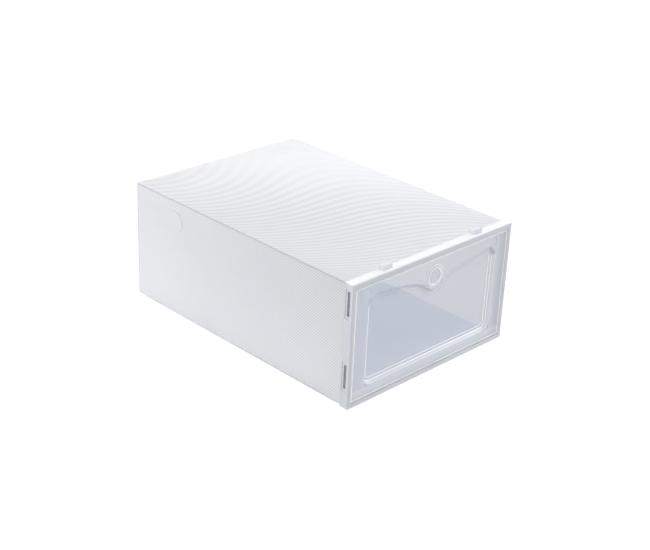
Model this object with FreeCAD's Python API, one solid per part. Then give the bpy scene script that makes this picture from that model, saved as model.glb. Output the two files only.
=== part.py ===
import FreeCAD, Part
import math
import os

# Stackable drop-front shoe box, in millimetres.
# X runs across the box, Y from the front (negative) to the back, Z up.
# The origin is the middle of the box's footprint, on the surface it stands on.

# Driving dimensions
length = 330.0           # front of the frame to the outside of the back panel
width = 234.0            # outside of the front frame
height = 134.7           # outside of the front frame, without its stacking tabs
sheet = 0.8              # thickness of the creased polypropylene sheet
frame_depth = 10.2       # front frame, front to back
frame_proud = 1.5        # the frame stands this far outside the sheet all round
side_rim = 5.0           # width of the frame's front face at the sides
top_rim = 7.0            # and at the top
bottom_rim = 4.5         # and at the bottom
door_gap = 0.3           # free play between the door and the frame
fold_gap = 0.5           # from a crease to the edge of the flap it carries

# Front frame
rim_thickness = 3.0      # front flange of the frame
groove_play = 0.1        # free play on each face of the sheet in the frame's groove
inner_wall = 2.0         # wall between the groove and the inside of the box
ledge_reach = 2.6        # how far the door stop reaches in behind the door's edge
ledge_thickness = 2.0
ledge_bottom = 14.0      # the side stops start above the hinge
corner_radius = 1.2
edge_radius = 0.5
top_edge_radius = 1.8    # the top front edge of the frame is rounder
side_slope = 1.8         # the opening's front edge slopes in over this width at the sides
top_slope = 2.4          # and at the top

# Stacking tabs on top, and the pockets below that take another box's tabs
tab_x = 66.8
tab_width = 13.0
tab_setback = 4.0        # from the frame's front face to the tab
tab_height = 5.3
tab_play = 0.3

# Slots in the sides of the frame
slot_width = 3.5
slot_length = 26.0
slot_setback = 3.8
slot_heights = (34.6, 112.6)
slot_border = 3.0        # shallow recess around each slot
slot_border_depth = 0.5

# Door
door_inset = 0.6         # the door's face lies this far behind the frame's face
door_thickness = 1.6
barrel_radius = 2.0
pin_radius = 1.5
pin_play = 0.07
pin_length = 2.3
hinge_setback = 2.4      # hinge axis behind the frame's front face
door_corner = 2.0
door_edge = 0.4          # rounding of the plate's front edges
gate_slit = (-1.2, 9.4)  # the moulding mark beside the middle of the lower edge
gate_slit_height = 1.2
gate_slit_depth = 0.9
gate_slit_above = 1.2    # its middle above the hinge axis

# Recessed window of the door
window_half_width = 95.0
window_bottom = 17.5
window_slope = 3.2       # the recess first drops this far at 45 degrees
window_depth = 4.2       # then more gently down to its floor
window_bevel = 7.5       # which is this much smaller all round
window_wall = 1.2
window_low_corner = 10.5
window_high_corner = 11.0
dip_radius = 14.5        # the outline dips round the finger ring on this radius
dip_angle = 37.2         # and leaves it at this slope
shoulder_radii = (8.0, 168.0)
shoulder_angle = 21.7    # slope where the two shoulder arcs meet

# Finger ring
ring_height = 108.0
ring_radius = 13.0
finger_hole_radius = 8.25

# Oval half-cut vents in the side panels
vent_centre_y = 113.2
vent_centre_z = 108.7
vent_length = 52.0
vent_height = 24.6
vent_hinge_y = 130.0
vent_kerf = 0.35
vent_rest_angle = 3.0    # the flap rests bowed out by this much

# Back closure
back_clearance = 0.4     # between the dust flaps and the back panel
tuck_length = 25.0
tuck_drop = 1.6          # from the top panel's underside to the tuck flap
tuck_half_width = 108.0
dust_length = 60.0
dust_bottom = 16.0
dust_top = 126.0
flap_corner = 12.0       # the flaps' free corners are cut off by this much
seam_width = 12.0

# Derived planes
front = -length / 2
back = length / 2
frame_side = width / 2
frame_back = front + frame_depth
side_out = frame_side - frame_proud
side_in = side_out - sheet
roof_out = height - frame_proud
roof_in = roof_out - sheet
floor_out = frame_proud
floor_in = floor_out + sheet
rim_back = front + rim_thickness
sheet_front = rim_back + door_gap + 0.2
opening_half = frame_side - side_rim
opening_bottom = bottom_rim
opening_top = height - top_rim
door_front = front + door_inset
door_back = door_front + door_thickness
hinge_y = front + hinge_setback
hinge_z = opening_bottom + door_gap + barrel_radius
door_half = opening_half - door_gap
door_top = opening_top - door_gap
back_out = back
back_in = back - sheet
dust_out = back_in - back_clearance
dust_in = dust_out - sheet
tuck_top = roof_in - tuck_drop
tuck_bottom = tuck_top - sheet
slot_front = front + slot_setback
slot_back = slot_front + slot_width
slot_ends = [(z - slot_length / 2, z + slot_length / 2) for z in slot_heights]
tab_front = front + tab_setback

X = FreeCAD.Vector(1, 0, 0)
Y = FreeCAD.Vector(0, 1, 0)
Z = FreeCAD.Vector(0, 0, 1)


def point(x, y, z):
    return FreeCAD.Vector(x, y, z)


def slab(x, y, z):
    """Box between three (low, high) pairs."""
    corner = point(x[0], y[0], z[0])
    return Part.makeBox(x[1] - x[0], y[1] - y[0], z[1] - z[0], corner)


def mirrored(shape):
    """The same piece on the other side of the box."""
    return shape.mirror(point(0, 0, 0), X)


def prism(corners, direction):
    """Straight-sided plate: an outline of points pushed along a direction."""
    outline = Part.makePolygon(corners + corners[:1])
    return Part.Face(outline).extrude(direction)


def save(name, shape):
    shape.removeSplitter().exportStep(f"parts/{name}.step")


# ---- Sheet: panels of the sleeve -------------------------------------------------

def slot_notches():
    """Cut-outs of the left panel's front edge behind the frame's side slots."""
    margin = 1.5
    across = (-side_out - 1, -side_in + 1)
    deep = (sheet_front - 1, slot_back + 0.5)
    return [slab(across, deep, (low - margin, high + margin)) for low, high in slot_ends]


def oval(radius_change, x):
    """Stadium-shaped plug of the vent, grown by radius_change, between two X planes."""
    radius = vent_height / 2 + radius_change
    half = (vent_length - vent_height) / 2
    front_y = vent_centre_y - half
    back_y = vent_centre_y + half
    low = vent_centre_z - radius
    high = vent_centre_z + radius
    start = x[0]
    edges = [
        Part.LineSegment(point(start, front_y, low), point(start, back_y, low)).toShape(),
        Part.Arc(point(start, back_y, low), point(start, back_y + radius, vent_centre_z),
                 point(start, back_y, high)).toShape(),
        Part.LineSegment(point(start, back_y, high), point(start, front_y, high)).toShape(),
        Part.Arc(point(start, front_y, high), point(start, front_y - radius, vent_centre_z),
                 point(start, front_y, low)).toShape(),
    ]
    return Part.Face(Part.Wire(edges)).extrude(X * (x[1] - x[0]))


def ahead_of_vent_hinge(setback):
    """Everything in front of the vent's hinge line."""
    return slab((-frame_side, frame_side), (front, vent_hinge_y - setback), (0, height))


def left_panel():
    panel = slab((-side_out, -side_in), (sheet_front, dust_out), (floor_in, roof_in))
    vent = oval(0, (-side_out - 1, -side_in + 1)).common(ahead_of_vent_hinge(0))
    return panel.cut([vent] + slot_notches())


def left_vent_flap():
    flap = oval(-vent_kerf, (-side_out, -side_in)).common(ahead_of_vent_hinge(vent_kerf))
    flap.rotate(point(-side_in, vent_hinge_y, 0), Z, -vent_rest_angle)
    return flap


def top_panel():
    return slab((-side_out, side_out), (sheet_front, back_out), (roof_in, roof_out))


def bottom_panel():
    floor = slab((-side_out, side_out), (sheet_front, dust_out + 0.1), (floor_out, floor_in))
    notch_half = tab_width / 2 + tab_play + 0.5
    across = (tab_x - notch_half, tab_x + notch_half)
    notch = slab(across, (sheet_front - 1, frame_back + 0.5), (0, floor_in + 1))
    return floor.cut([notch, mirrored(notch)])


def seam_flap():
    """Lap strip of the sleeve, stuck under the left edge of the floor."""
    run = (frame_back + 5, dust_in - 10)
    return slab((-side_out, -side_out + seam_width), run, (floor_out - sheet, floor_out))


# ---- Sheet: back closure ---------------------------------------------------------

def back_panel():
    return slab((-side_out, side_out), (back_in, back_out), (floor_out + 0.3, tuck_top))


def tuck_flap():
    root = back_in - fold_gap
    tip = back_in - tuck_length
    corners = [
        point(-tuck_half_width, root, tuck_bottom),
        point(tuck_half_width, root, tuck_bottom),
        point(tuck_half_width, tip + flap_corner, tuck_bottom),
        point(tuck_half_width - flap_corner, tip, tuck_bottom),
        point(flap_corner - tuck_half_width, tip, tuck_bottom),
        point(-tuck_half_width, tip + flap_corner, tuck_bottom),
    ]
    return prism(corners, Z * sheet)


def left_dust_flap():
    root = -side_in + fold_gap
    tip = -side_in + dust_length
    corners = [
        point(root, dust_in, dust_bottom),
        point(tip - flap_corner, dust_in, dust_bottom),
        point(tip, dust_in, dust_bottom + flap_corner),
        point(tip, dust_in, dust_top - flap_corner),
        point(tip - flap_corner, dust_in, dust_top),
        point(root, dust_in, dust_top),
    ]
    return prism(corners, Y * sheet)


# ---- Front frame -----------------------------------------------------------------

def rounded(shape, radius, wanted):
    """Fillet the edges whose bounding box passes the test."""
    edges = [edge for edge in shape.Edges if wanted(edge.BoundBox)]
    return shape.makeFillet(radius, edges)


def top_front_edge():
    """What the larger rounding takes off the top front edge of the frame."""
    radius = top_edge_radius
    across = (-frame_side - 1, frame_side + 1)
    corner = slab(across, (front - 1, front + radius), (height - radius, height + 1))
    start = point(-frame_side - 1, front + radius, height - radius)
    return corner.cut(Part.makeCylinder(radius, 2 * frame_side + 2, start, X))


def frame_block():
    """Outside of the frame with its rounded corners and front edges."""
    block = slab((-frame_side, frame_side), (front, frame_back), (0, height))
    block = rounded(block, corner_radius, lambda box: box.YLength > frame_depth / 2)
    block = rounded(block, edge_radius, lambda box: box.YMax < front + 0.01)
    return block.cut(top_front_edge())


def opening_slope():
    """The opening widens towards the front, at the sides and at the top."""
    half = opening_half
    wide = half + side_slope
    low = opening_bottom
    sides = prism([point(-wide, front, low), point(wide, front, low), point(half, door_front, low),
                   point(-half, door_front, low)], Z * height)
    upper = prism([point(-wide, front, low), point(-wide, front, opening_top + top_slope),
                   point(-wide, door_front, opening_top), point(-wide, door_front, low)],
                  X * (2 * wide))
    return sides.common(upper)


def frame_openings():
    """Door opening, door stop and the wider space behind the stop."""
    half = opening_half
    stop_half = opening_half - ledge_reach
    stop_back = rim_back + ledge_thickness
    wall_half = side_in - groove_play - inner_wall
    wall_top = roof_in - groove_play - inner_wall
    past = 1.0
    bottom = opening_bottom
    return [
        opening_slope(),
        slab((-half, half), (front - past, rim_back), (bottom, opening_top)),
        slab((-stop_half, stop_half), (front, stop_back + past), (bottom, opening_top - ledge_reach)),
        slab((-half, half), (front, stop_back + past), (bottom, ledge_bottom)),
        slab((-wall_half, wall_half), (stop_back, frame_back + past), (bottom, wall_top)),
    ]


def sheet_groove():
    """Rear groove of the frame, which the front edge of the sleeve fills."""
    run = (rim_back, frame_back + 1)
    outer = slab((-side_out - groove_play, side_out + groove_play), run,
                 (floor_out - groove_play, roof_out + groove_play))
    inner = slab((-side_in + groove_play, side_in - groove_play), run,
                 (floor_in + groove_play, roof_in - groove_play))
    return outer.cut(inner)


def hinge_boss():
    """Block of the frame's left lower corner that holds the door's pin."""
    inside = -side_in + groove_play
    return slab((inside, -opening_half), (rim_back, hinge_y + 4), (opening_bottom, hinge_z + 4))


def pin_hole():
    depth = pin_length + door_gap
    start = point(-opening_half - depth + door_gap, hinge_y, hinge_z)
    return Part.makeCylinder(pin_radius + pin_play, depth, start, X)


def side_slots():
    """Slots through the frame's left side, each in its shallow recess."""
    wall = -side_in + groove_play + inner_wall
    cuts = []
    for low, high in slot_ends:
        cuts.append(slab((-frame_side - 1, wall), (slot_front, slot_back), (low, high)))
        border = slab((-frame_side - 1, -frame_side + slot_border_depth),
                      (slot_front - 0.4, slot_back + 2.0), (low - slot_border, high + slot_border))
        cuts.append(border)
    return cuts


def stacking_tab():
    tab = slab((tab_x - tab_width / 2, tab_x + tab_width / 2), (tab_front, frame_back),
               (height - 1, height + tab_height))
    return rounded(tab, edge_radius, lambda box: box.ZMin > height - 0.5)


def stacking_pocket():
    half = tab_width / 2 + tab_play
    return slab((tab_x - half, tab_x + half), (tab_front - tab_play, frame_back + 1),
                (-1, opening_bottom + 1))


def on_opening_edge(box):
    """True for the lower front edge of the door opening."""
    return box.YMax < front + 0.01 and abs(box.Center.z - opening_bottom) < 0.01


def front_frame():
    frame = frame_block().cut(frame_openings() + [sheet_groove()])
    frame = rounded(frame, edge_radius, on_opening_edge)
    added = []
    removed = []
    for side in (lambda shape: shape, mirrored):
        added += [side(hinge_boss()), side(stacking_tab())]
        removed += [side(pin_hole()), side(stacking_pocket())]
        removed += [side(cut) for cut in side_slots()]
    return frame.fuse(added).removeSplitter().cut(removed)


# ---- Door ------------------------------------------------------------------------

def arc(centre, radius, start, end, y):
    """Arc in an XZ plane, from one angle to another in degrees."""
    def at(angle):
        turn = math.radians(angle)
        return point(centre[0] + radius * math.cos(turn), y, centre[1] + radius * math.sin(turn))
    return Part.Arc(at(start), at((start + end) / 2), at(end)).toShape()


def along(centre, distance, angle):
    turn = math.radians(angle)
    return (centre[0] + distance * math.cos(turn), centre[1] + distance * math.sin(turn))


def window_outline(inset, y):
    """Closed outline of the window: rounded below, and above two shoulders that dip
    round the finger ring. Every arc keeps its centre as the outline is inset."""
    near, far = shoulder_radii
    ring = (0, ring_height)
    near_centre = along(ring, dip_radius + near, -dip_angle)
    far_centre = along(near_centre, far - near, shoulder_angle - 90)
    top = far_centre[1] + far
    low_centre = (window_half_width - window_low_corner, window_bottom + window_low_corner)
    high_centre = (window_half_width - window_high_corner, top - window_high_corner)
    right = [
        arc(low_centre, window_low_corner - inset, -90, 0, y),
        arc(high_centre, window_high_corner - inset, 0, 90, y),
        arc(far_centre, far - inset, 90, 90 + shoulder_angle, y),
        arc(near_centre, near - inset, 90 + shoulder_angle, 180 - dip_angle, y),
    ]
    left = [curve.mirror(point(0, 0, 0), X) for curve in right]
    dip = arc(ring, dip_radius + inset, -dip_angle, dip_angle - 180, y)
    side_x = window_half_width - inset
    lines = [
        ((-low_centre[0], window_bottom + inset), (low_centre[0], window_bottom + inset)),
        ((side_x, low_centre[1]), (side_x, high_centre[1])),
        ((-side_x, low_centre[1]), (-side_x, high_centre[1])),
        ((high_centre[0], top - inset), (far_centre[0], top - inset)),
        ((-high_centre[0], top - inset), (-far_centre[0], top - inset)),
    ]
    straight = [Part.makeLine(point(a[0], y, a[1]), point(b[0], y, b[1])) for a, b in lines]
    return Part.Wire(Part.__sortEdges__(right + left + [dip] + straight))


def window_form(stations):
    """Solid that narrows from one window outline to the next. Each station is an inset
    and a Y plane."""
    forms = []
    for near, far in zip(stations, stations[1:]):
        outlines = [window_outline(*near), window_outline(*far)]
        forms.append(Part.makeLoft(outlines, True, True))
    return forms[0].fuse(forms[1:])


def door_plate():
    plate = slab((-door_half, door_half), (door_front, door_back), (hinge_z, door_top))
    plate = rounded(plate, door_corner,
                    lambda box: box.ZMin > door_top - 0.01 and box.XLength < 0.01)
    return rounded(plate, door_edge,
                   lambda box: box.YMax < door_front + 0.01 and box.ZMax > hinge_z + 0.01)


def hinge_barrel():
    start = point(-door_half, hinge_y, hinge_z)
    barrel = Part.makeCylinder(barrel_radius, 2 * door_half, start, X)
    start = point(-door_half - pin_length + door_gap, hinge_y, hinge_z)
    pins = Part.makeCylinder(pin_radius, 2 * (door_half + pin_length - door_gap), start, X)
    return barrel.fuse(pins)


def front_door():
    """One moulding: plate, recessed window, finger ring, hinge barrel and pins."""
    slope_end = door_front + window_slope
    floor = door_front + window_depth
    wall = window_wall
    recess = window_form([(0, door_front - 1), (0, door_front), (window_slope, slope_end),
                          (window_bevel, floor)])
    tray = window_form([(-wall, door_front + wall), (window_slope - wall / 2, slope_end + wall),
                        (window_bevel - wall / 4, floor + wall)])
    centre = point(0, front, ring_height)
    ring = Part.makeCylinder(ring_radius, door_back - front, centre, Y)
    ring = rounded(ring, edge_radius, lambda box: box.YMax < front + 0.01)
    hole = Part.makeCylinder(finger_hole_radius, 10, centre - Y * 2, Y)
    slit_low = hinge_z + gate_slit_above - gate_slit_height / 2
    slit = slab(gate_slit, (front - 1, door_front + gate_slit_depth),
                (slit_low, slit_low + gate_slit_height))
    door = door_plate().fuse([hinge_barrel(), tray, ring]).removeSplitter()
    return door.cut([recess, hole, slit])


os.makedirs("parts", exist_ok=True)
save("front_frame", front_frame())
save("front_door", front_door())
save("top_panel", top_panel())
save("bottom_panel", bottom_panel())
save("seam_flap", seam_flap())
save("back_panel", back_panel())
save("tuck_flap", tuck_flap())
for name, piece in (("panel", left_panel()), ("vent_flap", left_vent_flap()),
                    ("dust_flap", left_dust_flap())):
    save(f"left_{name}", piece)
    save(f"right_{name}", mirrored(piece))
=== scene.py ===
import bmesh
import bpy
import math
from mathutils import Matrix, Vector

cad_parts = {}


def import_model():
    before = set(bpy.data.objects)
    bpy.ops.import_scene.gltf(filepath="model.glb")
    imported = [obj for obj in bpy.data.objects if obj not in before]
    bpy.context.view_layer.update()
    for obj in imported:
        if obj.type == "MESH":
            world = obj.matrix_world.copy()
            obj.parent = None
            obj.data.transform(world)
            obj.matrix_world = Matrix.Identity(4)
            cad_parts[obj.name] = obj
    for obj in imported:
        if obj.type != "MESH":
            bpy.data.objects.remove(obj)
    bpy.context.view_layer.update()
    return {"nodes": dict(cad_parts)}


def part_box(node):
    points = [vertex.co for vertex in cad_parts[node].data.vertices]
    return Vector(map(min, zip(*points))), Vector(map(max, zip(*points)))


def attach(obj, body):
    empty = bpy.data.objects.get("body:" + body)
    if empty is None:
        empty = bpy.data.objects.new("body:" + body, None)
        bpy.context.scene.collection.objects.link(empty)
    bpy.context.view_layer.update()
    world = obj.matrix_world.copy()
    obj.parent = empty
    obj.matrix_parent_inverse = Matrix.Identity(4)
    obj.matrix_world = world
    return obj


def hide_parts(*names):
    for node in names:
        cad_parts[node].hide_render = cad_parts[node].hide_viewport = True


# Looks of the drop-front shoe box, in metres, in the frame of the CAD model:
# X runs across the box, Y from the door (negative) to the back, Z up.

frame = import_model()
MM = 0.001
decimetre = 100.0 * MM

# Camera
camera_place = Vector((-0.940475, -0.937968, 0.685756))
camera_azimuth = math.radians(-45.449)
camera_elevation = math.radians(25.62)
camera_roll = math.radians(2.573)
camera_lens = 75.254
camera_sensor = 36.0
camera_clip = (0.05, 60.0)

# Ribs pressed into the sheet, as they run over the unfolded sleeve
rib_pitch = 2.23 * MM
rib_angle = math.radians(42.9)     # from the box's length to the direction across the ribs
rib_height = 0.13 * MM
rib_profile = ((0.0, 0.0), (0.28, 0.8), (0.5, 1.0), (0.72, 0.8))   # shares of pitch and height
rib_margin = 2.4 * MM              # the ribs fade out this far from a crease

# Creases between the panels
crease_depth = 0.3 * MM
crease_steps = (0.35 * MM, 0.7 * MM, 1.2 * MM)   # the relief bends this far from a crease

# Oval vents in the sides
vent_length = 52.0 * MM
vent_radius = 12.3 * MM
vent_kerf = 0.12 * MM
vent_bow = 0.7 * MM                # the flap's free end stands this far out

# Free edges of the sheet
flap_corner = 12.0 * MM            # cut off the flaps' far corners
notch_heights = (34.6 * MM, 112.6 * MM)   # cut-outs behind the frame's side slots
notch_length = 29.0 * MM
notch_end = -157.2 * MM
tab_place = 66.8 * MM              # cut-outs round the frame's lower pockets
pocket_length = 14.6 * MM
pocket_end = -154.3 * MM

# Looks of the sheet
# the crest colour, and the valley colour that carries the painted shade between the ribs and a
# random darker tone
sheet_crest = (1.0, 1.0, 1.0)
sheet_valley_shade_and_tone = (0.60, 0.605, 0.62)
sheet_glow = (0.95, 0.95, 0.96)    # light that comes through
# light that comes through upright panels, painted a little bluer as their shade
side_shade_glow = (0.95, 0.95, 0.975)
side_light = ((1.0, 1.0, 1.0), (0.94, 0.94, 0.945))   # painted light on upright panels, at the ground and above
side_light_height = 130.0 * MM
rib_shade_fade = (-200.0 * MM, 220.0 * MM)   # X + Y from where the ribs' painted shade shows most to least
rib_shade_fade_share = 0.35
# painted shade in the creases
crease_shade_colour = (0.30, 0.30, 0.32)
crease_shade_heights = (125.0 * MM, 130.0 * MM)   # painted shade in the creases above these heights
floor_shade = (0.86, 0.905, 0.965)
# strength of the painted rib shade on the bottom panel
floor_rib_shade = 0.1

# Painted shade: soft dark waves on the top panel
wave_shade_colour = (0.60, 0.60, 0.61)
wave_spacing = 12.0 * MM           # from wave to wave in the middle of the panel
wave_fan = 0.35                    # share by which they close up per decimetre to the left
wave_stretch = 0.15                # half the share by which they open out per decimetre back
wave_bend = 2.5                    # waves by which they have shifted a decimetre from the middle
wave_fade = (-0.8, 1.8)            # X + Y in decimetres from the strongest to the faintest
wave_strength = (0.85, 0.08)

# Looks of the moulded pieces
plastic_ior = 1.49
frame_colours = ((0.72, 0.73, 0.78), (0.68, 0.69, 0.745))
frame_glow = (0.90, 0.92, 0.97)
crown_light_colour = (0.88, 0.885, 0.90)     # painted light: the frame's top face is paler
crown_light_heights = (133.4 * MM, 134.5 * MM)
tab_heights = (134.9 * MM, 135.6 * MM)     # the stacking tabs stand above the top face
door_clear = (0.975, 0.975, 0.98)
door_haze = (0.89, 0.92, 0.96)
flank_shade_colour = (0.73, 0.76, 0.83)      # painted shade on the strips beside the window
foot_shade_colour = (0.84, 0.87, 0.93)       # painted shade on the strip below the window, lighter than beside it
brow_shade_colour = (0.50, 0.52, 0.58)       # painted shadow under its upper edge
highlight_colour = (0.98, 0.99, 1.0)      # painted highlights on edges that catch the light

# Door: its window is a recess that falls at 45 degrees and then gently
face_setback = 0.2 * MM            # the door's face lies this far behind its barrel's front
window_slope = 3.2 * MM            # depth where the steep part ends
window_depth = 4.2 * MM            # depth of the window's floor
# Painted highlights along the window's edges: depth and half the width of each bright line
window_highlight_lines = ((0.3 * MM, 0.45 * MM), (window_slope, 0.45 * MM), (window_depth, 0.22 * MM))
brow_shade_depths = (3.3 * MM, 3.8 * MM)     # the painted shadow line under the upper edge ends between these
foot_heights = (16.6 * MM, 17.6 * MM)      # where the strip below the window ends
flank_widths = (94.6 * MM, 96.0 * MM)      # and where those beside it start
rim_highlight_widths = (0.6 * MM, 1.4 * MM)      # the painted highlight on the outer edge fades over this stretch
pin_reach = 2.3 * MM               # the hinge pins stick out beyond the plate
ring_height = 108.0 * MM           # middle of the finger hole
ring_radii = (12.6 * MM, 13.2 * MM)    # where the ring round the finger hole ends
hole_radius = 8.25 * MM
lip_highlight_offset = 0.6 * MM              # painted highlight: a bright line round the hole, outside its edge
lip_highlight_half = 0.55 * MM

# Studio
floor_half = 15.0
world_strength = 0.26
lamp_target = (0, 0, 0.07)
# Name, place, side and watts of each lamp
lamps = (("top", (0, -0.3, 2.2), 1.8, 41.0),
         ("top_back", (0, 0.9, 2.1), 1.4, 5.0),
         ("right_back", (1.3, 1.3, 1.9), 1.4, 7.6),
         ("left_back", (-0.9, 0.5, 0.35), 0.5, 5.7),
         ("right", (1.0, 0.0, 0.5), 0.6, 4.2),
         ("right_front", (0.9, -0.7, 0.4), 0.5, 2.5))

rounding = 1e-6                    # slack for rounding when positions are compared


# ---- Node trees ------------------------------------------------------------------

class Tree:
    """Short calls for building one material's nodes."""

    def __init__(self, name):
        self.material = bpy.data.materials.new(name)
        self.material.use_nodes = True
        self.nodes = self.material.node_tree.nodes
        self.links = self.material.node_tree.links
        self.nodes.clear()

    def put(self, socket, value):
        if isinstance(value, bpy.types.NodeSocket):
            self.links.new(value, socket)
        else:
            socket.default_value = value

    def add(self, kind, values=(), **settings):
        node = self.nodes.new(kind)
        for name, value in settings.items():
            setattr(node, name, value)
        for name, value in dict(values).items():
            self.put(node.inputs[name], value)
        return node

    def math(self, operation, *values):
        node = self.add("ShaderNodeMath", operation=operation)
        for socket, value in zip(node.inputs, values):
            self.put(socket, value)
        return node.outputs[0]

    def spread(self, value, low, high, to_low=0.0, to_high=1.0):
        """Smooth step from one range to another."""
        node = self.add("ShaderNodeMapRange", interpolation_type="SMOOTHSTEP")
        for name, number in zip(("Value", "From Min", "From Max", "To Min", "To Max"),
                                (value, low, high, to_low, to_high)):
            self.put(node.inputs[name], number)
        return node.outputs[0]

    def place(self):
        """The point on the object, in metres, as X, Y and Z."""
        coordinates = self.add("ShaderNodeTexCoord")
        split = self.add("ShaderNodeSeparateXYZ", {"Vector": coordinates.outputs["Object"]})
        return coordinates.outputs["Object"], split.outputs

    def facing(self):
        """Which way the surface faces on the object, as X, Y and Z."""
        coordinates = self.add("ShaderNodeTexCoord")
        return self.add("ShaderNodeSeparateXYZ", {"Vector": coordinates.outputs["Normal"]}).outputs

    def noise(self, where, scale, detail=2.0, roughness=0.5):
        node = self.add("ShaderNodeTexNoise", {"Vector": where, "Scale": scale, "Detail": detail,
                                               "Roughness": roughness})
        return node.outputs[0]

    def blend_colour(self, share, low, high):
        node = self.add("ShaderNodeMix", data_type="RGBA")
        self.put(node.inputs[0], share)
        self.put(node.inputs[6], low)
        self.put(node.inputs[7], high)
        return node.outputs[2]

    def times(self, first, second):
        """Product of two colours."""
        node = self.add("ShaderNodeMix", data_type="RGBA", blend_type="MULTIPLY")
        self.put(node.inputs[0], 1.0)
        self.put(node.inputs[6], first)
        self.put(node.inputs[7], second)
        return node.outputs[2]

    def bump(self, height, distance, strength=1.0):
        node = self.add("ShaderNodeBump", {"Height": height, "Distance": distance,
                                           "Strength": strength})
        return node.outputs[0]

    def scuffs(self, where, scale, start, end):
        """Sparse fine wear marks."""
        return self.spread(self.noise(where, scale, 6.0, 0.7), start, end)

    def plastic(self, colour, roughness, normal):
        """Body of a moulded or rolled plastic."""
        body = self.add("ShaderNodeBsdfPrincipled", {"Base Color": colour, "Roughness": roughness,
                                                     "IOR": plastic_ior, "Normal": normal})
        return body.outputs[0]

    def translucent(self, colour):
        return self.add("ShaderNodeBsdfTranslucent", {"Color": colour}).outputs[0]

    def mix(self, share, first, second):
        node = self.add("ShaderNodeMixShader")
        self.put(node.inputs[0], share)
        self.put(node.inputs[1], first)
        self.put(node.inputs[2], second)
        return node.outputs[0]

    def finish(self, surface):
        out = self.add("ShaderNodeOutputMaterial")
        self.put(out.inputs["Surface"], surface)
        return self.material


def opaque(colour):
    return (*colour, 1.0)


def tinted(colour, shade):
    """A colour darkened by a share for each of its three parts."""
    return opaque([part * share for part, share in zip(colour, shade)])


# ---- Materials -------------------------------------------------------------------

def sheet_material(name, shade=(1.0, 1.0, 1.0), ribs=1.0, waves=False, upright=False):
    """Ribbed translucent polypropylene, with painted shade in the valleys between its ribs over
    their real relief.
    With waves it carries broad soft waves of painted shade, as its fine ribs show them on the top
    panel.
    An upright panel carries painted light that makes it lighter towards the ground."""
    tree = Tree(name)
    where, axes = tree.place()
    away = tree.math("ADD", axes[0], axes[1])
    contrast = tree.spread(away, *rib_shade_fade, ribs, rib_shade_fade_share * ribs)
    cloud = tree.noise(where, 14.0, 3.0)
    # painted shade in the rib valleys, strongest at the front left, over a random tone
    ribbed = tree.math("MULTIPLY", rib_valley_shade(tree), contrast)
    tone = tree.math("MULTIPLY_ADD", cloud, 0.12, ribbed)
    colour = tree.blend_colour(tone, tinted(sheet_crest, shade), tinted(sheet_valley_shade_and_tone, shade))
    glow = tinted(side_shade_glow if upright else sheet_glow, shade)
    if waves:
        # painted shade: soft dark waves over the top panel
        colour = tree.blend_colour(wave_shade_share(tree, axes), colour, opaque(wave_shade_colour))
    # painted light: an upright panel lighter towards the ground, as the floor lights it
    if upright:
        level = tree.spread(axes[2], 0.0, side_light_height)
        light = tree.blend_colour(level, opaque(side_light[0]), opaque(side_light[1]))
        colour = tree.times(colour, light)
        glow = tree.times(light, glow)
    # painted shade in the creases along the top
    colour = tree.blend_colour(crease_shade(tree, axes), colour, opaque(crease_shade_colour))
    scuffs = tree.scuffs(where, 60.0, 0.58, 0.72)
    roughness = tree.math("MULTIPLY_ADD", cloud, 0.12, tree.math("MULTIPLY_ADD", scuffs, 0.1, 0.36))
    grain = tree.bump(tree.noise(where, 900.0, 2.0), 0.03 * MM, 0.6)
    body = tree.plastic(colour, roughness, grain)
    return tree.finish(tree.mix(0.5, body, tree.translucent(glow)))


def rib_valley_shade(tree):
    """Where the ribs' shade is painted: 1 in the valleys between the ribs, 0 on their crests."""
    unfolded = tree.add("ShaderNodeAttribute", attribute_name="unfolded")
    flat = tree.add("ShaderNodeSeparateXYZ", {"Vector": unfolded.outputs["Vector"]})
    along = tree.math("MULTIPLY", flat.outputs[0], math.cos(rib_angle) / rib_pitch)
    around = tree.math("MULTIPLY", flat.outputs[1], math.sin(rib_angle) / rib_pitch)
    turn = tree.math("MULTIPLY", tree.math("ADD", along, around), 2 * math.pi)
    return tree.spread(tree.math("COSINE", turn), -1.0, 0.5, 1.0, 0.0)


def crease_shade(tree, axes):
    """Painted shade in the creases at the top."""
    crease = tree.add("ShaderNodeAttribute", attribute_name="crease")
    high = tree.spread(axes[2], *crease_shade_heights)
    return tree.math("MULTIPLY", crease.outputs["Fac"], tree.math("MULTIPLY", high, 0.85))


def wave_shade_share(tree, axes):
    """Soft waves of painted shade across the top panel. They close up to the left, open out to the
    back and bend across the panel. X and Y are in decimetres here."""
    x = tree.math("MULTIPLY", axes[0], 1 / decimetre)
    y = tree.math("MULTIPLY", axes[1], 1 / decimetre)
    closeness = tree.math("MULTIPLY_ADD", x, -wave_fan, 1.0)
    closeness = tree.math("MULTIPLY_ADD", y, -wave_stretch, closeness)
    along = tree.math("MULTIPLY", tree.math("MULTIPLY", y, closeness), decimetre / wave_spacing)
    cube = tree.math("MULTIPLY", tree.math("MULTIPLY", x, x), x)
    total = tree.math("MULTIPLY_ADD", cube, wave_bend, along)
    wave = tree.math("SINE", tree.math("MULTIPLY", total, 2 * math.pi))
    fade = tree.spread(tree.math("ADD", x, y), *wave_fade, *wave_strength)
    return tree.math("MULTIPLY", tree.math("MULTIPLY_ADD", wave, 0.5, 0.5), fade)


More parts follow.
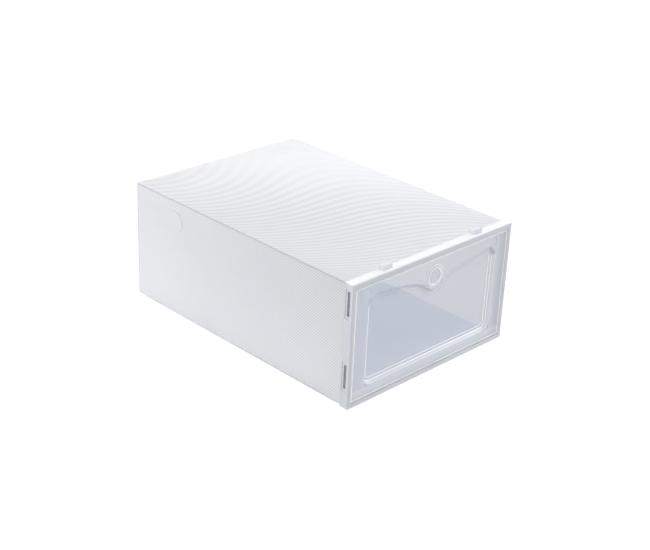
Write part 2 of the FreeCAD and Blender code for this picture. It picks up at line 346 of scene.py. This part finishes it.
def frame_material():
    """Milky injection-moulded plastic with a blue cast, with painted light that makes its top face
    paler.
    The thin stacking tabs let more light through."""
    tree = Tree("frame_plastic")
    where, axes = tree.place()
    cloud = tree.noise(where, 18.0, 3.0)
    colour = tree.blend_colour(cloud, opaque(frame_colours[0]), opaque(frame_colours[1]))
    # painted light: paler on the frame's top face
    crown_light = tree.spread(axes[2], *crown_light_heights)
    colour = tree.blend_colour(crown_light, colour, opaque(crown_light_colour))
    scuffs = tree.scuffs(where, 130.0, 0.6, 0.72)
    roughness = tree.math("MULTIPLY_ADD", scuffs, 0.2, tree.math("MULTIPLY_ADD", cloud, 0.1, 0.2))
    grain = tree.bump(tree.noise(where, 420.0, 3.0), 0.04 * MM, 0.5)
    body = tree.plastic(colour, roughness, grain)
    thin = tree.spread(axes[2], *tab_heights)
    share = tree.math("MULTIPLY_ADD", thin, 0.3, 0.22)
    return tree.finish(tree.mix(share, body, tree.translucent(opaque(frame_glow))))


def line(tree, value, middle, half):
    """1 where the value is at the middle, 0 beyond half a width from it."""
    away = tree.math("ABSOLUTE", tree.math("SUBTRACT", value, middle))
    return tree.spread(away, 0.3 * half, half, 1.0, 0.0)


def outside(tree, share):
    """1 where a share is 0, 0 where it is 1."""
    return tree.math("SUBTRACT", 1.0, share)


def door_rim_highlight(tree, axes, low, high):
    """Painted highlight: 1 at the door's outer edges."""
    sideways = tree.math("SUBTRACT", high.x - pin_reach, tree.math("ABSOLUTE", axes[0]))
    upright = tree.math("MINIMUM", tree.math("SUBTRACT", high.z, axes[2]),
                        tree.math("SUBTRACT", axes[2], low.z))
    return tree.spread(tree.math("MINIMUM", sideways, upright), *rim_highlight_widths, 1.0, 0.0)


def ring_reach(tree, axes):
    """Distance from the middle of the finger hole, over the door's face."""
    above = tree.math("SUBTRACT", axes[2], ring_height)
    squares = tree.math("ADD", tree.math("MULTIPLY", axes[0], axes[0]),
                        tree.math("MULTIPLY", above, above))
    return tree.math("SQRT", squares)


def window_highlights(tree, depth, facing, tilt):
    """Painted highlights: 1 along the front edges of the window's recess, where it starts, breaks
    and ends.
    """
    edges = 0.0
    for middle, half in window_highlight_lines:
        edges = tree.math("MAXIMUM", edges, line(tree, depth, middle, half))
    slanted = tree.spread(tilt, 0.01, 0.03)
    front = tree.spread(facing[1], -0.05, 0.05, 1.0, 0.0)
    return tree.math("MULTIPLY", edges, tree.math("MULTIPLY", slanted, front))


def door_material():
    """Clear moulded plastic with a slight haze. The bands beside and below the window are
    hazier and carry painted shade, its edges carry painted highlights, and the slope under its upper
    edge carries a painted shadow line."""
    tree = Tree("door_plastic")
    where, axes = tree.place()
    facing = tree.facing()
    low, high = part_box("front_door")
    foot = tree.spread(axes[2], *foot_heights, 1.0, 0.0)
    flank = tree.spread(tree.math("ABSOLUTE", axes[0]), *flank_widths)
    reach = ring_reach(tree, axes)
    ring = tree.spread(reach, *ring_radii, 1.0, 0.0)

    tilt = outside(tree, tree.math("ABSOLUTE", facing[1]))
    lean = tree.spread(tree.math("MULTIPLY", facing[1], facing[2]), 0.02, 0.16)
    under = tree.math("MULTIPLY", lean, outside(tree, foot))
    depth = tree.math("SUBTRACT", axes[1], low.y + face_setback)
    # painted shadow: a dark line on the slope under the window's upper edge
    brow_shade = tree.math("MULTIPLY", under, tree.spread(depth, *brow_shade_depths, 1.0, 0.0))
    # painted highlights along the window's edges, left off the shaded slope and the ring
    edges = window_highlights(tree, depth, facing, tilt)
    for zone in (under, ring):
        edges = tree.math("MULTIPLY", edges, outside(tree, zone))
    # painted highlight round the finger hole
    lip_highlight = line(tree, reach, hole_radius + lip_highlight_offset, lip_highlight_half)
    highlight = tree.math("MAXIMUM", door_rim_highlight(tree, axes, low, high), edges)
    highlight = tree.math("MAXIMUM", highlight, lip_highlight)

    colour = opaque(door_haze)
    # painted shade beside and below the window, a painted shadow line under its upper edge, painted
    # highlights on its edges
    for zone, zone_colour in ((flank, flank_shade_colour), (foot, foot_shade_colour), (brow_shade, brow_shade_colour),
                              (highlight, highlight_colour)):
        colour = tree.blend_colour(zone, colour, opaque(zone_colour))
    cloud = tree.noise(where, 22.0, 3.0)
    scuffs = tree.scuffs(where, 150.0, 0.6, 0.75)
    roughness = tree.math("MULTIPLY_ADD", scuffs, 0.25, tree.math("MULTIPLY_ADD", cloud, 0.08, 0.12))
    ripple = tree.bump(tree.noise(where, 60.0, 2.0), 0.03 * MM, 0.3)
    haze = tree.plastic(colour, roughness, ripple)
    clear = tree.add("ShaderNodeBsdfTransparent", {"Color": opaque(door_clear)})

    share = tree.math("MULTIPLY_ADD", tilt, 1.6, 0.15)
    share = tree.math("MULTIPLY", share, tree.math("MULTIPLY_ADD", under, -0.7, 1.0))
    for zone, more in ((tree.math("MAXIMUM", foot, flank), 0.35), (ring, 0.2), (brow_shade, 0.45)):
        share = tree.math("MULTIPLY_ADD", zone, more, share)
    share = tree.math("MAXIMUM", share, highlight)
    return tree.finish(tree.mix(share, clear.outputs[0], haze))


def floor_material():
    """Pale studio floor that shines softly, so that it keeps almost no shadow."""
    tree = Tree("studio_floor")
    body = tree.add("ShaderNodeBsdfPrincipled", {"Base Color": (0.8, 0.8, 0.8, 1.0),
                                                 "Roughness": 0.9})
    glow = tree.add("ShaderNodeEmission", {"Color": (1.0, 1.0, 1.0, 1.0), "Strength": 1.1})
    return tree.finish(tree.mix(0.85, body.outputs[0], glow.outputs[0]))


# ---- Ribbed sheet panels ---------------------------------------------------------
# The sleeve is one sheet. "Along" is measured over the unfolded sheet from the front to
# the back, and "around" up the left side, over the top, down the right and back below.
# The seam flap lies the other way, from the left side's lower edge.

class Panel:
    """A flat stretch of the sheet. origin is its point at along 0 and around 0, and
    outward points out of the box."""

    def __init__(self, origin, along, around, outward, thickness):
        self.origin = Vector(origin)
        self.along = Vector(along)
        self.around = Vector(around)
        self.outward = Vector(outward)
        self.thickness = thickness

    def point(self, along, around, height=0.0):
        return self.origin + self.along * along + self.around * around + self.outward * height


def cut_along(flat, position, direction):
    """Split the flat mesh by the line at a position measured along a direction."""
    geometry = flat.verts[:] + flat.edges[:] + flat.faces[:]
    place = Vector((direction[0] * position, direction[1] * position, 0))
    bmesh.ops.bisect_plane(flat, geom=geometry, plane_co=place, dist=1e-7,
                           plane_no=Vector((direction[0], direction[1], 0)))


def fill(outlines):
    """Flat mesh inside the first outline and outside the others."""
    flat = bmesh.new()
    edges = []
    for outline in outlines:
        corners = [flat.verts.new((along, around, 0)) for along, around in outline]
        for start, end in zip(corners, corners[1:] + corners[:1]):
            edges.append(flat.edges.new((start, end)))
    bmesh.ops.triangle_fill(flat, edges=edges, use_beauty=True, use_dissolve=False)
    bmesh.ops.recalc_face_normals(flat, faces=flat.faces[:])
    if sum(face.normal.z for face in flat.faces) < 0:
        bmesh.ops.reverse_faces(flat, faces=flat.faces[:])
    return flat


def rib_relief(along, around):
    """Height of the ribs at a point of the unfolded sheet."""
    place = (along * math.cos(rib_angle) + around * math.sin(rib_angle)) / rib_pitch
    share = place - math.floor(place + rounding)
    stations = rib_profile + ((1.0, 0.0),)
    for (start, low), (end, high) in zip(stations, stations[1:]):
        if share <= end + rounding:
            return rib_height * (low + (high - low) * max(share - start, 0) / (end - start))
    return 0.0


def rib_lines(flat):
    """Split the flat mesh along the ribs' profile stations."""
    direction = (math.cos(rib_angle), math.sin(rib_angle))
    places = [vert.co.x * direction[0] + vert.co.y * direction[1] for vert in flat.verts]
    first = math.floor(min(places) / rib_pitch)
    last = math.ceil(max(places) / rib_pitch)
    for number in range(first, last + 1):
        for share, _ in rib_profile:
            cut_along(flat, (number + share) * rib_pitch, direction)


def crease_share(distance):
    """1 in the bottom of a crease, 0 away from it."""
    return max(0.0, 1.0 - distance / crease_steps[-1]) ** 1.5


def cut_creases(flat, creases):
    """Split the flat mesh beside its creases, where the relief changes."""
    for kind, position in creases:
        direction = (1, 0) if kind == "along" else (0, 1)
        for step in crease_steps + (rib_margin,):
            for side in (-1, 1):
                cut_along(flat, position + side * step, direction)


def join_layers(flat, solid, outer, inner):
    """Faces on both sides of the sheet, and the walls along its free edges."""
    flat.verts.index_update()
    for face in flat.faces:
        corners = [vert.index for vert in face.verts]
        solid.faces.new([outer[index] for index in corners])
        solid.faces.new([inner[index] for index in reversed(corners)])
    for edge in flat.edges:
        if edge.is_boundary:
            start, end = [vert.index for vert in edge.verts]
            solid.faces.new([outer[start], outer[end], inner[end], inner[start]])
    bmesh.ops.recalc_face_normals(solid, faces=solid.faces[:])
    for face in solid.faces:
        face.smooth = True


def ribbed_sheet(name, panel, outlines, creases=(), shape=None):
    """One panel of the sheet with its ribs and creases as real relief. Each crease is
    ("along" or "around", position). shape moves a point of the panel, for a bowed flap."""
    flat = fill(outlines)
    rib_lines(flat)
    cut_creases(flat, creases)
    mesh = bpy.data.meshes.new(name)
    solid = bmesh.new()
    flat_place = solid.verts.layers.float_vector.new("unfolded")
    crease_layer = solid.verts.layers.float.new("crease")
    outer, inner = [], []
    for vert in flat.verts:
        along, around = vert.co.x, vert.co.y
        nearest = min([abs((along if kind == "along" else around) - position)
                       for kind, position in creases], default=1.0)
        ribs = rib_relief(along, around) * min(1.0, nearest / rib_margin)
        dent = crease_depth * crease_share(nearest)
        for layer, height in ((outer, ribs - dent - rib_height),
                              (inner, ribs * 0.5 - panel.thickness)):
            place = panel.point(along, around, height)
            if shape:
                place = shape(place)
            made = solid.verts.new(place)
            made[flat_place] = Vector((along, around, 0))
            made[crease_layer] = crease_share(nearest)
            layer.append(made)
    join_layers(flat, solid, outer, inner)
    solid.to_mesh(mesh)
    mesh.set_sharp_from_angle(angle=math.radians(40))
    piece = bpy.data.objects.new(name, mesh)
    bpy.context.scene.collection.objects.link(piece)
    flat.free()
    solid.free()
    return piece


def rectangle(along, around):
    return [(along[0], around[0]), (along[1], around[0]), (along[1], around[1]),
            (along[0], around[1])]


def notched(along, around, notches, depth):
    """Rectangle whose front edge is cut back to a depth between each pair of positions."""
    corners = [(along[0], around[0])]
    for start, end in notches:
        corners += [(along[0], start), (depth, start), (depth, end), (along[0], end)]
    return corners + [(along[0], around[1]), (along[1], around[1]), (along[1], around[0])]


def clipped(along, around):
    """Rectangle with its two far corners cut off."""
    start, end = along
    low, high = around
    return [(start, low), (end - flap_corner, low), (end, low + flap_corner),
            (end, high - flap_corner), (end - flap_corner, high), (start, high)]


def arc(centre, radius, start, turn, steps=14):
    """Points on an arc, both ends included."""
    angles = [start + turn * step / steps for step in range(steps + 1)]
    return [(centre[0] + radius * math.cos(angle), centre[1] + radius * math.sin(angle))
            for angle in angles]


def vent_outline(front, middle, radius, hinge):
    """Stadium outline cut off straight at the hinge, in unfolded coordinates."""
    straight = vent_length - 2 * vent_radius
    front_centre = front + radius
    back_centre = front_centre + straight
    rest = math.acos((hinge - back_centre) / radius)
    bend = math.pi / 2 - rest
    return (arc((front_centre, middle), radius, math.pi / 2, math.pi)
            + arc((back_centre, middle), radius, -math.pi / 2, bend)
            + arc((back_centre, middle), radius, rest, bend))


class Sleeve:
    """The flat stretches of the folded sheet, laid out from the CAD nodes' boxes."""

    def __init__(self):
        top_low, top_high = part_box("top_panel")
        self.bottom_low, self.bottom_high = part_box("bottom_panel")
        self.floor = self.bottom_low.z
        self.rise = top_high.z - self.floor
        self.span = top_high.x - top_low.x
        self.half = top_high.x
        self.thickness = top_high.z - top_low.z
        self.turn_right = self.rise + self.span
        self.bottom_end = self.bottom_high.y

    def panel(self, origin, along, around, outward):
        return Panel(origin, along, around, outward, self.thickness)

    def side(self, sign):
        """The left (-1) or right (1) side."""
        if sign < 0:
            return self.panel((-self.half, 0, self.floor), (0, 1, 0), (0, 0, 1), (-1, 0, 0))
        return self.panel((self.half, 0, self.floor + self.rise + self.turn_right),
                          (0, 1, 0), (0, 0, -1), (1, 0, 0))

    def around_side(self, sign, height):
        """Where a height above the ground lies around the sheet."""
        above = height - self.floor
        return above if sign < 0 else self.turn_right + self.rise - above


def add_sheet(node, body, panel, outlines, creases, material, shape=None):
    piece = ribbed_sheet(f"{node}_sheet", panel, outlines, creases, shape)
    piece.data.materials.append(material)
    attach(piece, body)
    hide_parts(node)


def side_sheets(sleeve, side, sign, material):
    """A side panel, its vent flap and the dust flap at its back."""
    panel = sleeve.side(sign)
    low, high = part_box(f"{side}_panel")
    vent_low, vent_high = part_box(f"{side}_vent_flap")
    middle = sleeve.around_side(sign, (vent_low.z + vent_high.z) / 2)
    hinge = vent_high.y + vent_kerf
    front = vent_low.y
    edges = sorted(sleeve.around_side(sign, height) for height in (low.z, high.z))
    notches = sorted(sorted(sleeve.around_side(sign, height + half)
                            for half in (-notch_length / 2, notch_length / 2))
                     for height in notch_heights)
    outline = notched((low.y, high.y), edges, notches, notch_end)
    hole = vent_outline(front - vent_kerf, middle, vent_radius + vent_kerf, hinge)
    creases = [("around", edge) for edge in edges] + [("along", high.y)]
    add_sheet(f"{side}_panel", "sleeve", panel, [outline, hole], creases, material)

    def bow(place):
        share = (hinge - place.y) / (hinge - front)
        return place + panel.outward * vent_bow * share * share

    flap = vent_outline(front, middle, vent_radius, hinge - vent_kerf)
    add_sheet(f"{side}_vent_flap", f"{side}_vent", panel, [flap], [], material, bow)

    dust_low, dust_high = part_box(f"{side}_dust_flap")
    root = dust_low.x if sign < 0 else dust_high.x
    rear = high.y
    dust = sleeve.panel((root + sign * rear, dust_high.y, panel.origin.z), (-sign, 0, 0),
                        panel.around, (0, 1, 0))
    around = sorted(sleeve.around_side(sign, height) for height in (dust_low.z, dust_high.z))
    reach = dust_high.x - dust_low.x
    add_sheet(f"{side}_dust_flap", f"{side}_dust", dust, [clipped((rear, rear + reach), around)],
              [("along", rear)], material)


def sleeve_sheets():
    """Every panel and flap of the creased sheet, and the body each one rides."""
    plain = sheet_material("ribbed_sheet")
    # the upright panels' copy carries painted light from the floor
    upright = sheet_material("ribbed_sheet_side", upright=True)
    # the top panel's copy carries the painted shade waves
    wave_shaded = sheet_material("ribbed_sheet_top", waves=True)
    shaded = sheet_material("ribbed_sheet_floor", shade=floor_shade, ribs=floor_rib_shade)
    sleeve = Sleeve()
    for side, sign in (("left", -1), ("right", 1)):
        side_sheets(sleeve, side, sign, upright)

    low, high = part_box("top_panel")
    top = sleeve.panel((-sleeve.half - sleeve.rise, 0, high.z), (0, 1, 0), (1, 0, 0), (0, 0, 1))
    around = (sleeve.rise, sleeve.turn_right)
    add_sheet("top_panel", "sleeve", top, [rectangle((low.y, high.y), around)],
              [("around", edge) for edge in around], wave_shaded)

    low, high = sleeve.bottom_low, sleeve.bottom_high
    below = sleeve.turn_right + sleeve.rise
    start = sleeve.half + below
    around = (below, below + sleeve.span)
    middle = below + sleeve.span / 2
    notches = [(middle + centre - pocket_length / 2, middle + centre + pocket_length / 2)
               for centre in (-tab_place, tab_place)]
    bottom = sleeve.panel((start, 0, low.z), (0, 1, 0), (-1, 0, 0), (0, 0, -1))
    add_sheet("bottom_panel", "sleeve", bottom,
              [notched((low.y, high.y), around, notches, pocket_end)],
              [("around", edge) for edge in around] + [("along", high.y)], shaded)

    low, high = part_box("seam_flap")
    seam = sleeve.panel((-sleeve.half, 0, low.z), (0, 1, 0), (-1, 0, 0), (0, 0, -1))
    add_sheet("seam_flap", "sleeve", seam, [rectangle((low.y, high.y), (low.x - high.x, 0.0))],
              [("around", 0.0)], plain)

    low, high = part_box("back_panel")
    root = sleeve.bottom_end
    tip = root + high.z - low.z
    back = sleeve.panel((start, high.y, low.z - root), (0, 0, 1), (-1, 0, 0), (0, 1, 0))
    add_sheet("back_panel", "back", back, [rectangle((root, tip), around)],
              [("along", root), ("along", tip)], plain)

    low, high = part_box("tuck_flap")
    tuck = sleeve.panel((start, high.y + tip, high.z), (0, -1, 0), (-1, 0, 0), (0, 0, 1))
    add_sheet("tuck_flap", "tuck", tuck,
              [clipped((tip, tip + high.y - low.y), (middle + low.x, middle + high.x))],
              [("along", tip)], plain)


# ---- Moulded pieces --------------------------------------------------------------

def moulded():
    """The frame and the door keep the CAD shapes and get their own materials."""
    for node, material in (("front_frame", frame_material()), ("front_door", door_material())):
        cad = frame["nodes"][node]
        cad.data.materials.clear()
        cad.data.materials.append(material)


# ---- Studio ----------------------------------------------------------------------

def floor():
    mesh = bpy.data.meshes.new("floor")
    corners = [(x, y, 0) for x, y in rectangle((-floor_half, floor_half), (-floor_half, floor_half))]
    mesh.from_pydata(corners, [], [(0, 1, 2, 3)])
    mesh.materials.append(floor_material())
    piece = bpy.data.objects.new("floor", mesh)
    bpy.context.scene.collection.objects.link(piece)


def world():
    made = bpy.data.worlds.new("studio")
    made.use_nodes = True
    background = made.node_tree.nodes["Background"]
    background.inputs["Color"].default_value = (1.0, 1.0, 1.0, 1.0)
    background.inputs["Strength"].default_value = world_strength
    bpy.context.scene.world = made


def soft_light(name, place, size, power):
    """A square lamp aimed at the box."""
    light = bpy.data.lights.new(name, "AREA")
    light.shape = "SQUARE"
    light.size = size
    light.energy = power
    lamp = bpy.data.objects.new(name, light)
    lamp.location = place
    towards = Vector(lamp_target) - lamp.location
    lamp.rotation_euler = towards.to_track_quat("-Z", "Y").to_euler()
    bpy.context.scene.collection.objects.link(lamp)


def camera():
    """The eye, turned by its azimuth, elevation and roll."""
    lens = bpy.data.cameras.new("camera")
    lens.sensor_width = camera_sensor
    lens.lens = camera_lens
    lens.clip_start, lens.clip_end = camera_clip
    eye = bpy.data.objects.new("camera", lens)
    back = Vector((math.sin(camera_azimuth) * math.cos(camera_elevation),
                   -math.cos(camera_azimuth) * math.cos(camera_elevation),
                   math.sin(camera_elevation)))
    level = Vector((math.cos(camera_azimuth), math.sin(camera_azimuth), 0))
    upright = back.cross(level)
    across = level * math.cos(camera_roll) + upright * math.sin(camera_roll)
    up = upright * math.cos(camera_roll) - level * math.sin(camera_roll)
    turned = Matrix((across, up, back)).transposed().to_4x4()
    eye.matrix_world = Matrix.Translation(camera_place) @ turned
    bpy.context.scene.collection.objects.link(eye)
    bpy.context.scene.camera = eye


bpy.context.scene.view_settings.view_transform = "Standard"
camera()
world()
floor()
for lamp_name, lamp_place, lamp_size, lamp_power in lamps:
    soft_light(lamp_name, lamp_place, lamp_size, lamp_power)
sleeve_sheets()
moulded()
